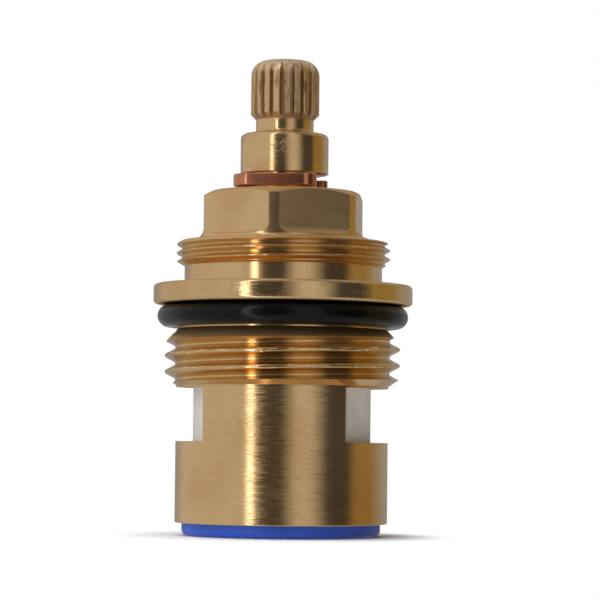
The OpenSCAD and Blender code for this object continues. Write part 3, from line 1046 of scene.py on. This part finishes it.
def studio_cards(name):
    """Glow that follows the cards round the drum, and evens out far above and far below the object."""
    material = empty_material(name)
    place = add_node(material, "TexCoord").outputs["Object"]
    around = add_node(material, "TexGradient", {"Vector": place}, gradient_type="RADIAL").outputs["Fac"]
    far = spread(material, math_node(material, "ABSOLUTE", height(material), 0.0), even_from, card_reach)
    below = spread(material, height(material), -card_reach, 0.0, to_low=even_below_share, to_high=0.0)
    even = times(material, far, plus(material, below, even_above_share))
    light = blend_colours(material, even, card_row(material, around), EVEN_LIGHT)
    return glow(material, light, 1.0)


drum = turn_on_lathe("studio_drum", [(0, -card_reach), (card_radius, -card_reach),
                                     (card_radius, card_reach), (0, card_reach)])
drum.data.materials.append(studio_cards("studio_cards"))
strips = [
    sector("strip_light", strip_r, strip_r + strip_thick, -strip_z, strip_z, strip_turn, strip_half),
    sector("strip_top", strip_inner_r, strip_r, strip_z - strip_thick, strip_z, strip_turn, strip_half),
    sector("strip_foot", strip_inner_r, strip_r, -strip_z, strip_thick - strip_z, strip_turn, strip_half),
]
tube = glow(empty_material("strip_tube"), STRIP_LIGHT, strip_level)
for strip in strips:
    strip.data.materials.append(tube)
for card in (drum, *strips):
    card.rotation_euler.z = front
    card.visible_camera = False
    card.visible_diffuse = False
    card.visible_transmission = False
    card.visible_shadow = False

# Floor and light
# White floor that keeps the object's soft shadow and runs out into the white round it.
# Three large soft lamps and the air, brighter on the left, light the matt pieces at a plain level.
floor_r = 3.0
floor_sides = 96
floor_fade_start = 0.0125
floor_fade_end = 0.02
WHITE = (1, 1, 1, 1)
FLOOR_WHITE = (0.97, 0.97, 0.97, 1)
AIR_LEFT = (0.52, 0.52, 0.52, 1)
AIR_RIGHT = (0.09, 0.07, 0.045, 1)


def seen_directly(material):
    """1 for rays from the camera, from a mirror surface or through glass, and 0 for matt surfaces."""
    path = add_node(material, "LightPath").outputs
    seen = math_node(material, "MAXIMUM", path["Is Camera Ray"], path["Is Glossy Ray"])
    return math_node(material, "MAXIMUM", seen, path["Is Transmission Ray"])


bpy.ops.object.select_all(action="DESELECT")
bpy.ops.mesh.primitive_circle_add(vertices=floor_sides, radius=floor_r, fill_type="NGON")
floor = bpy.context.object
floor.name = "floor"
white_floor = new_material("white_floor", base_color=FLOOR_WHITE, roughness=0.9, specular_ior_level=0.0)
place = add_node(white_floor, "TexCoord").outputs["Object"]
distance = add_node(white_floor, "VectorMath", {"Vector": place}, operation="LENGTH").outputs["Value"]
far_off = spread(white_floor, distance, floor_fade_start, floor_fade_end)
shine = add_node(white_floor, "Emission", {"Color": WHITE, "Strength": 1.0})
run_out = add_node(white_floor, "MixShader")
tree = white_floor.node_tree
tree.links.new(times(white_floor, far_off, seen_directly(white_floor)), run_out.inputs[0])
tree.links.new(tree.nodes["Principled BSDF"].outputs["BSDF"], run_out.inputs[1])
tree.links.new(shine.outputs["Emission"], run_out.inputs[2])
tree.links.new(run_out.outputs["Shader"], tree.nodes["Material Output"].inputs["Surface"])
floor.data.materials.append(white_floor)
floor.visible_glossy = False

air = bpy.data.worlds.new("studio_air")
air.use_nodes = True
bpy.context.scene.world = air
toward = add_node(air, "TexCoord").outputs["Generated"]
rightward = add_node(air, "VectorMath", {"Vector": toward}, operation="DOT_PRODUCT")
rightward.inputs[1].default_value = to_right
side = spread(air, rightward.outputs["Value"], -1.0, 1.0)
light = blend_colours(air, side, AIR_LEFT, AIR_RIGHT)
light = blend_colours(air, seen_directly(air), light, WHITE)
air.node_tree.links.new(light, air.node_tree.nodes["Background"].inputs["Color"])

# Each lamp has a name, its turn in degrees from the front, its height, its distance, its size and
# its watts.
LAMPS = [
    ("key_lamp", -48, 0.30, 0.26, 0.44, 0.8),
    ("fill_lamp", 40, 0.22, 0.36, 0.30, 0.02),
    ("top_lamp", -20, 0.60, 0.08, 0.50, 1.1),
]
for name, turn, lamp_z, out, size, power in LAMPS:
    bpy.ops.object.light_add(type="AREA")
    lamp = bpy.context.object
    lamp.name = name
    lamp.data.size = size
    lamp.data.energy = power
    angle = front + math.radians(turn)
    spot = Vector((out * math.cos(angle), out * math.sin(angle), lamp_z))
    middle = Vector((0, 0, hex_top_z / 2))
    facing = (middle - spot).to_track_quat("-Z", "Y").to_matrix().to_4x4()
    lamp.matrix_world = Matrix.Translation(spot) @ facing
    lamp.visible_glossy = False
    lamp.visible_camera = False
